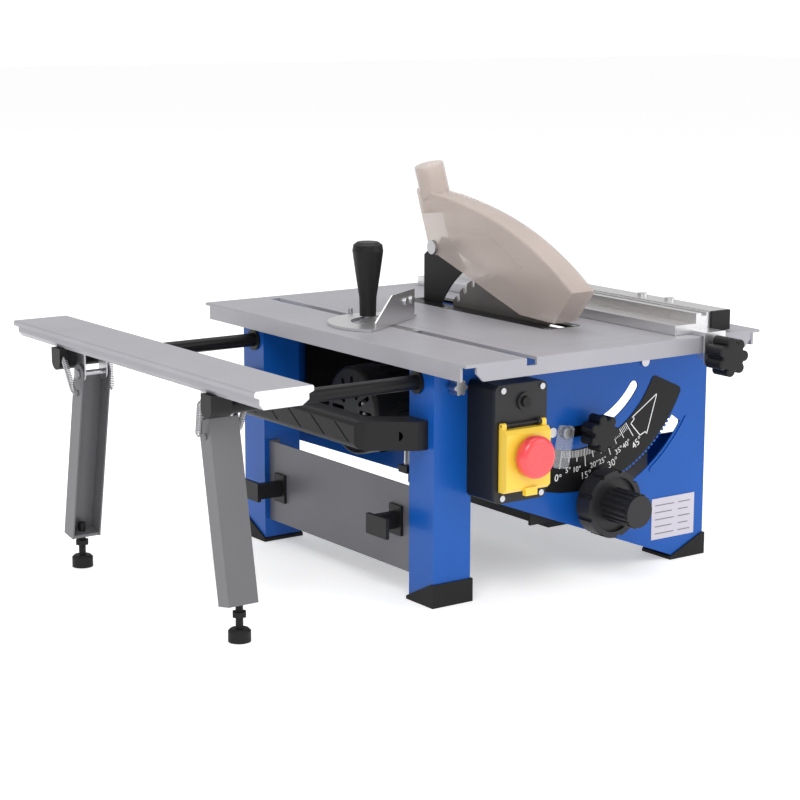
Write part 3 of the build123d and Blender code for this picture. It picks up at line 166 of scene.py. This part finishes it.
grey_ink = surface("grey_ink", (0.22, 0.22, 0.25), 0.5, grain=1500, bump=0.05, vary=0.05)
label_metal = surface("label_metal", (0.56, 0.53, 0.60), 0.4, metallic=0.2, grain=600, bump=0.05, vary=0.04)
# Painted light: the extension's front end face takes the table paint made much paler, standing in for the
# light that face catches.
painted_light_end = surface("painted_light_end", (0.80, 0.81, 0.86), 0.5, grain=420, bump=0.45, vary=0.06)
smoked_plastic = clear("smoked_plastic", (0.66, 0.57, 0.52), 0.22, alpha=0.62, transmission=0.25)
clear_plastic = clear("clear_plastic", (0.75, 0.78, 0.82), 0.10, alpha=0.26, transmission=0.3)

FINISHES = {
    table_paint: ("table_top", "centre_plate", "extension_plate"),
    blue_paint: ("front_frame", "rear_frame"),
    grey_paint: ("left_side_panel", "right_side_panel"),
    leg_paint: ("front_leg", "rear_leg"),
    black_steel: ("throat_insert", "tilt_scale", "slide_tubes", "tilt_frame", "blade_case", "riving_knife"),
    black_plastic: (
        "carry_handle", "cord_hooks", "tube_bushings", "cable_gland", "switch_box", "reset_button",
        "tilt_lock_knob", "tube_brackets", "motor_housing", "motor_end_cap", "fence_end_caps", "fence_knob",
        "miter_handle",
    ),
    grey_plastic: ("switch_lid", "handwheel"),
    black_rubber: ("foot_caps", "front_level_foot", "rear_level_foot"),
    steel: (
        "screws", "tube_lock_knob", "hinge_brackets", "guide_rods", "tilt_bolts", "arbor_bearings", "arbor",
        "drive_gear", "arbor_nut", "armature", "handwheel_shaft", "miter_bar",
    ),
    blade_steel: ("saw_blade",),
    aluminium: ("rip_fence", "fence_tube", "fence_clamp", "miter_head", "miter_fence"),
    cast_metal: ("gear_case",),
    yellow_plastic: ("switch_flap",),
    red_plastic: ("stop_button", "stop_mushroom"),
    green_plastic: ("start_button",),
    label_metal: ("rating_plate",),
    smoked_plastic: ("guard_shell",),
    clear_plastic: ("tilt_pointer",),
}
for finish, names in FINISHES.items():
    for node in names:
        nodes[node].data.materials.clear()
        nodes[node].data.materials.append(finish)

SOFTENED = (
    "switch_box", "switch_lid", "switch_flap", "carry_handle", "foot_caps", "extension_plate", "cord_hooks",
    "rip_fence", "fence_tube", "fence_clamp", "fence_end_caps", "front_leg", "rear_leg", "tube_brackets",
)
EDGE_WIDTH = 0.0006
SHARP_ANGLE = radians(35)
for node in SOFTENED:
    bevel = nodes[node].modifiers.new("soft_edges", "BEVEL")
    bevel.width = EDGE_WIDTH
    bevel.segments = 2
    bevel.limit_method = "ANGLE"
    bevel.angle_limit = SHARP_ANGLE
    bevel.harden_normals = True


# ------------------------------------------------------------------ helpers for added pieces
def piece(name, mesh, finish, body):
    """Wraps a bmesh as a piece that rides on a CAD body."""
    data = bpy.data.meshes.new(name)
    bmesh.ops.recalc_face_normals(mesh, faces=mesh.faces)
    mesh.to_mesh(data)
    mesh.free()
    shape = bpy.data.objects.new(name, data)
    bpy.context.scene.collection.objects.link(shape)
    data.materials.append(finish)
    if body:
        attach(shape, body)
    return shape


def prism(mesh, outline, normal, depth):
    """Adds a solid slab: a flat outline pushed along its normal."""
    push = Vector(normal).normalized() * depth
    low = [mesh.verts.new(point) for point in outline]
    high = [mesh.verts.new(Vector(point) + push) for point in outline]
    count = len(outline)
    mesh.faces.new(low)
    mesh.faces.new(list(reversed(high)))
    for i in range(count):
        j = (i + 1) % count
        mesh.faces.new((low[i], low[j], high[j], high[i]))


def dial_point(radius, angle, y):
    """Point on the dial: radius in millimetres from the tilt axis, angle from straight down."""
    turn = radians(angle)
    return Vector((TILT.x + radius * MM * sin(turn), y, TILT.z - radius * MM * cos(turn)))


# ------------------------------------------------------------------ tilt scale marks and numbers
# The zero mark stands this many degrees from straight down, and the scale runs on from it.
SCALE_ZERO = -9.7
SCALE_SPAN = 45
MARK_INNER_R = 111.0
# Outer radius in millimetres and half width in degrees of each kind of mark.
DEGREE_MARK = (118.0, 0.125)
FIVE_MARK = (122.5, 0.2)
FIFTEEN_MARK = (129.0, 0.2)
INK = 0.0002
FACING_FRONT = (0, -1, 0)
scale_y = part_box("tilt_scale")[0][1]
marks = bmesh.new()
for degree in range(SCALE_SPAN + 1):
    angle = SCALE_ZERO + degree
    outer, half = DEGREE_MARK
    if degree % 15 == 0:
        outer, half = FIFTEEN_MARK
    elif degree % 5 == 0:
        outer, half = FIVE_MARK
    corners = [
        dial_point(MARK_INNER_R, angle - half, scale_y), dial_point(outer, angle - half, scale_y),
        dial_point(outer, angle + half, scale_y), dial_point(MARK_INNER_R, angle + half, scale_y),
    ]
    prism(marks, corners, FACING_FRONT, INK)

# Outline of the printed arrow as radius and angle on the dial.
ARROW = [
    (123.8, 58.3), (112.5, 40.3), (115.8, 40.9), (116.5, 37.6), (134.8, 38.4), (137.2, 41.5), (140.3, 41.4),
]
ARROW_HALF_LINE = 0.0005
for first, second in zip(ARROW, ARROW[1:] + ARROW[:1]):
    start = dial_point(first[0], first[1], scale_y)
    stop = dial_point(second[0], second[1], scale_y)
    side = (stop - start).cross(Vector((0, 1, 0))).normalized() * ARROW_HALF_LINE
    prism(marks, [start - side, stop - side, stop + side, start + side], FACING_FRONT, INK)
piece("scale_marks", marks, white_ink, "stand")

# Numbers every five degrees: text height, and the radius of their centres on the dial.
BIG_NUMBER = (0.0102, 138.5)
SMALL_NUMBER = (0.0078, 130.5)
for degree in range(0, SCALE_SPAN + 1, 5):
    height, radius = SMALL_NUMBER if degree % 15 else BIG_NUMBER
    text = bpy.data.curves.new(f"scale_number_{degree}", "FONT")
    text.body = f"{degree}°"
    text.size = height
    text.align_x = "CENTER"
    text.align_y = "CENTER"
    text.extrude = INK / 2
    turn = radians(SCALE_ZERO + degree)
    place = dial_point(radius, SCALE_ZERO + degree, scale_y - INK / 2)
    number = bpy.data.objects.new(f"scale_number_{degree}", text)
    bpy.context.scene.collection.objects.link(number)
    number.matrix_world = Matrix((
        (cos(turn), -sin(turn), 0, place.x),
        (0, 0, -1, place.y),
        (sin(turn), cos(turn), 0, place.z),
        (0, 0, 0, 1),
    ))
    text.materials.append(white_ink)
    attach(number, "stand")

# ------------------------------------------------------------------ rating plate: plain printed lines
plate_low, plate_high = (Vector(corner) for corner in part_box("rating_plate"))
ROWS = 5
FIRST_ROW_DROP = 0.008
ROW_PITCH = 0.0075
LINE_HEIGHT = 0.0011
# Start and end of each column as shares of the plate's width; every other row ends sooner.
COLUMNS = ((0.08, 0.52), (0.62, 0.90))
SHORTER = 0.05
plate_width = plate_high.x - plate_low.x
lines = bmesh.new()
for row in range(ROWS):
    row_z = plate_high.z - (FIRST_ROW_DROP + row * ROW_PITCH)
    for start_share, stop_share in COLUMNS:
        left_x = plate_low.x + plate_width * start_share
        right_x = plate_low.x + plate_width * (stop_share - SHORTER * (row % 2))
        corners = [
            (left_x, plate_low.y, row_z), (right_x, plate_low.y, row_z),
            (right_x, plate_low.y, row_z + LINE_HEIGHT), (left_x, plate_low.y, row_z + LINE_HEIGHT),
        ]
        prism(lines, corners, FACING_FRONT, INK)
piece("rating_plate_lines", lines, grey_ink, "stand")

# ------------------------------------------------------------------ leg springs: wound coils
COIL_R = 0.0026
WIRE_R = 0.0006
TURNS = 22
STEPS = 12
RING = 6
# The coil starts at a tenth of its radius and widens quickly, the same from both ends.
TIP_SHARE = 0.1
WIDENING = 8
extension_mid = joints["front_leg_fold"]["pos_m"][0]


def coil(name, low, high):
    """Tension spring from a leg's side to the plate."""
    mesh = bmesh.new()
    axis = (high - low).normalized()
    across = axis.cross(Vector((1, 0, 0))).normalized()
    up = axis.cross(across)
    rings = []
    total = TURNS * STEPS
    for step in range(total + 1):
        share = step / total
        turn = 2 * pi * step / STEPS
        radius = COIL_R * min(1.0, WIDENING * share + TIP_SHARE, WIDENING * (1 - share) + TIP_SHARE)
        out = across * cos(turn) + up * sin(turn)
        centre = low.lerp(high, share) + out * radius
        ring = []
        for corner in range(RING):
            angle = 2 * pi * corner / RING
            ring.append(mesh.verts.new(centre + (out * cos(angle) + axis * sin(angle)) * WIRE_R))
        rings.append(ring)
    for ring, following in zip(rings, rings[1:]):
        for corner in range(RING):
            other = (corner + 1) % RING
            mesh.faces.new((ring[corner], ring[other], following[other], following[corner]))
    mesh.faces.new(rings[0])
    mesh.faces.new(rings[-1])
    spring = piece(name, mesh, steel, None)
    for polygon in spring.data.polygons:
        polygon.use_smooth = True
    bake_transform(spring)
    return spring


SPRING_OUT = 0.0206
SPRING_TOP_OUT = 0.025
SPRING_TOP_BACK = 0.0125
SPRING_INSET = 0.001
spring_low_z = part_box("leg_springs")[0][2] + SPRING_INSET
spring_high_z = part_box("leg_springs")[1][2] - SPRING_INSET
for side, leg_body, joint_name in ((-1, "front_leg", "front_leg_fold"), (1, "rear_leg", "rear_leg_fold")):
    hinge_y = joints[joint_name]["pos_m"][1]
    for mirror in (-1, 1):
        low = Vector((extension_mid + mirror * SPRING_OUT, hinge_y, spring_low_z))
        high_y = hinge_y + side * SPRING_TOP_BACK
        high = Vector((extension_mid + mirror * SPRING_TOP_OUT, high_y, spring_high_z))
        label = f"{leg_body}_spring_{'left' if mirror < 0 else 'right'}"
        coil(label, low, high)
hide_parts("leg_springs")

# ------------------------------------------------------------------ side handle: slanting grip ribs
handle_low, handle_high = (Vector(corner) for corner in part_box("carry_handle"))
RIB_COUNT = 6
RIB_PITCH = 0.042
RIB_DEPTH = 0.0004
RIB_LEAN = 0.012
RIB_HALF = 0.0012
RIB_INSET = 0.006
ribs = bmesh.new()
rib_x = handle_low.x + RIB_DEPTH
foot_z = handle_low.z + RIB_INSET
head_z = handle_high.z - RIB_INSET
for index in range(RIB_COUNT):
    rib_y = CENTRE.y + (index - (RIB_COUNT - 1) / 2) * RIB_PITCH
    corners = [
        (rib_x, rib_y - RIB_LEAN - RIB_HALF, foot_z), (rib_x, rib_y - RIB_LEAN + RIB_HALF, foot_z),
        (rib_x, rib_y + RIB_LEAN + RIB_HALF, head_z), (rib_x, rib_y + RIB_LEAN - RIB_HALF, head_z),
    ]
    prism(ribs, corners, (-1, 0, 0), RIB_DEPTH)
piece("handle_ribs", ribs, grey_plastic, "stand")

# ------------------------------------------------------------------ extension: front end face in painted light, the table paint made paler
END_T = 0.0003
# Outline across the plate, in millimetres from its top left corner.
END_PROFILE = [
    (0, -5), (0, -1.5), (1.5, 0), (58.5, 0), (60, -1.5), (60, -5),
    (55, -7), (55, -12), (48, -16.7), (9, -16.7), (5, -12), (5, -7),
]
plate_box = [Vector(corner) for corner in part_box("extension_plate")]
end = bmesh.new()
corners = [(plate_box[0].x + x * MM, plate_box[0].y, plate_box[1].z + z * MM) for x, z in END_PROFILE]
prism(end, corners, FACING_FRONT, END_T)
# Thin overlay on the front end that carries the painted light.
piece("extension_end", end, painted_light_end, "extension")

# ------------------------------------------------------------------ floor, light and camera
WHITE = (1.0, 1.0, 1.0, 1.0)
FLOOR_HALF = 12.0
FLOOR_GAP = 0.0002
FLOOR_GLOW = 0.4
BACKDROP_LIGHT = 1.1
AMBIENT_LIGHT = 0.62
floor_mesh = bpy.data.meshes.new("floor")
floor_build = bmesh.new()
bmesh.ops.create_grid(floor_build, x_segments=8, y_segments=8, size=FLOOR_HALF)
floor_build.to_mesh(floor_mesh)
floor_build.free()
floor = bpy.data.objects.new("floor", floor_mesh)
bpy.context.scene.collection.objects.link(floor)
floor_paper = surface("floor_paper", (0.93, 0.93, 0.93), 0.9, grain=200, bump=0.0, vary=0.005, specular=0.0)
floor_shader = floor_paper.node_tree.nodes["Principled BSDF"]
floor_shader.inputs["Emission Color"].default_value = WHITE
floor_shader.inputs["Emission Strength"].default_value = FLOOR_GLOW
floor_mesh.materials.append(floor_paper)
floor.location.z = cad_bounds[0][2] - FLOOR_GAP

world = bpy.data.worlds.new("studio")
world.use_nodes = True
sky = world.node_tree
backdrop = sky.nodes["Background"]
backdrop.inputs["Color"].default_value = WHITE
backdrop.inputs["Strength"].default_value = BACKDROP_LIGHT
ambient = sky.nodes.new("ShaderNodeBackground")
ambient.inputs["Color"].default_value = WHITE
ambient.inputs["Strength"].default_value = AMBIENT_LIGHT
seen = sky.nodes.new("ShaderNodeLightPath")
blend = sky.nodes.new("ShaderNodeMixShader")
sky.links.new(seen.outputs["Is Camera Ray"], blend.inputs["Fac"])
sky.links.new(ambient.outputs["Background"], blend.inputs[1])
sky.links.new(backdrop.outputs["Background"], blend.inputs[2])
sky.links.new(blend.outputs["Shader"], sky.nodes["World Output"].inputs["Surface"])
bpy.context.scene.world = world

LIGHT_AIM = (-0.1, 0, 0.15)


def area_light(name, place, size, power):
    """Large soft panel aimed at the machine."""
    light = bpy.data.lights.new(name, "AREA")
    light.shape = "SQUARE"
    light.size = size
    light.energy = power
    lamp = bpy.data.objects.new(name, light)
    bpy.context.scene.collection.objects.link(lamp)
    lamp.location = CENTRE + Vector(place)
    aim = CENTRE + Vector(LIGHT_AIM) - lamp.location
    lamp.rotation_euler = aim.to_track_quat("-Z", "Y").to_euler()


area_light("key", (-1.6, -1.8, 2.4), size=1.6, power=36)
area_light("front_fill", (1.6, -2.4, 1.4), size=2.0, power=20)
area_light("top", (0.3, 0.6, 2.8), size=2.2, power=30)

# Viewpoint and lens of the photograph.
AZIMUTH = radians(-37.21)
ELEVATION = radians(11.21)
ROLL = radians(0.51)
DISTANCE = 2.23896
AIM_HEIGHT = 0.15167
SENSOR = 36.0
FOCAL_LENGTH = 95.2083
SHIFT = (-0.0909125, 0.0042)
forward = Vector((-sin(AZIMUTH) * cos(ELEVATION), cos(AZIMUTH) * cos(ELEVATION), -sin(ELEVATION)))
right = forward.cross(Vector((0, 0, 1))).normalized()
upward = right.cross(forward)
right_rolled = right * cos(ROLL) + upward * sin(ROLL)
up_rolled = upward * cos(ROLL) - right * sin(ROLL)
eye = CENTRE + Vector((0, 0, AIM_HEIGHT)) - forward * DISTANCE
lens = bpy.data.cameras.new("camera")
lens.sensor_width = SENSOR
lens.lens = FOCAL_LENGTH
lens.shift_x, lens.shift_y = SHIFT
camera = bpy.data.objects.new("camera", lens)
bpy.context.scene.collection.objects.link(camera)
camera.matrix_world = Matrix((
    (right_rolled.x, up_rolled.x, -forward.x, eye.x),
    (right_rolled.y, up_rolled.y, -forward.y, eye.y),
    (right_rolled.z, up_rolled.z, -forward.z, eye.z),
    (0, 0, 0, 1),
))
bpy.context.scene.camera = camera
bpy.context.scene.view_settings.view_transform = "Standard"
